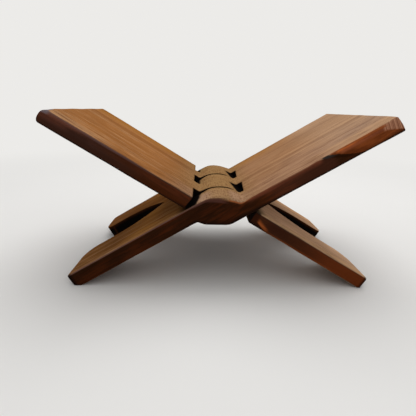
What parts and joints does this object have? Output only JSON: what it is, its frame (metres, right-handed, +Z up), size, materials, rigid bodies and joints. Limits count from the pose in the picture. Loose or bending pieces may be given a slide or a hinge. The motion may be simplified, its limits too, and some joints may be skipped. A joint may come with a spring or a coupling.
{
  "type": "folding book stand",
  "caption": "Folding wooden book stand: crossed leaves with book boards above and arched legs below, joined by an interlocking carved knuckle hinge without a pin.",
  "frame": {"origin": "on the floor under the middle of the hinge", "axes": "+X to the right across the open boards, +Y away from the viewer along the hinge, +Z up"},
  "size_m": [0.3526, 0.2, 0.1826],
  "materials": {
    "dark_hardwood": "hand-rubbed oil, satin, worn paler on the edges"
  },
  "bodies": {
    "outer_leaf": {"outer_leaf": "dark_hardwood"},
    "inner_leaf": {"inner_leaf": "dark_hardwood"}
  },
  "joints": [
    {"name": "leaf_hinge", "type": "hinge", "parent": "outer_leaf", "child": "inner_leaf", "pos_m": [0, 0, 0.08758], "axis": [0, 1, 0], "range_deg": [0, 118.4]}
  ]
}
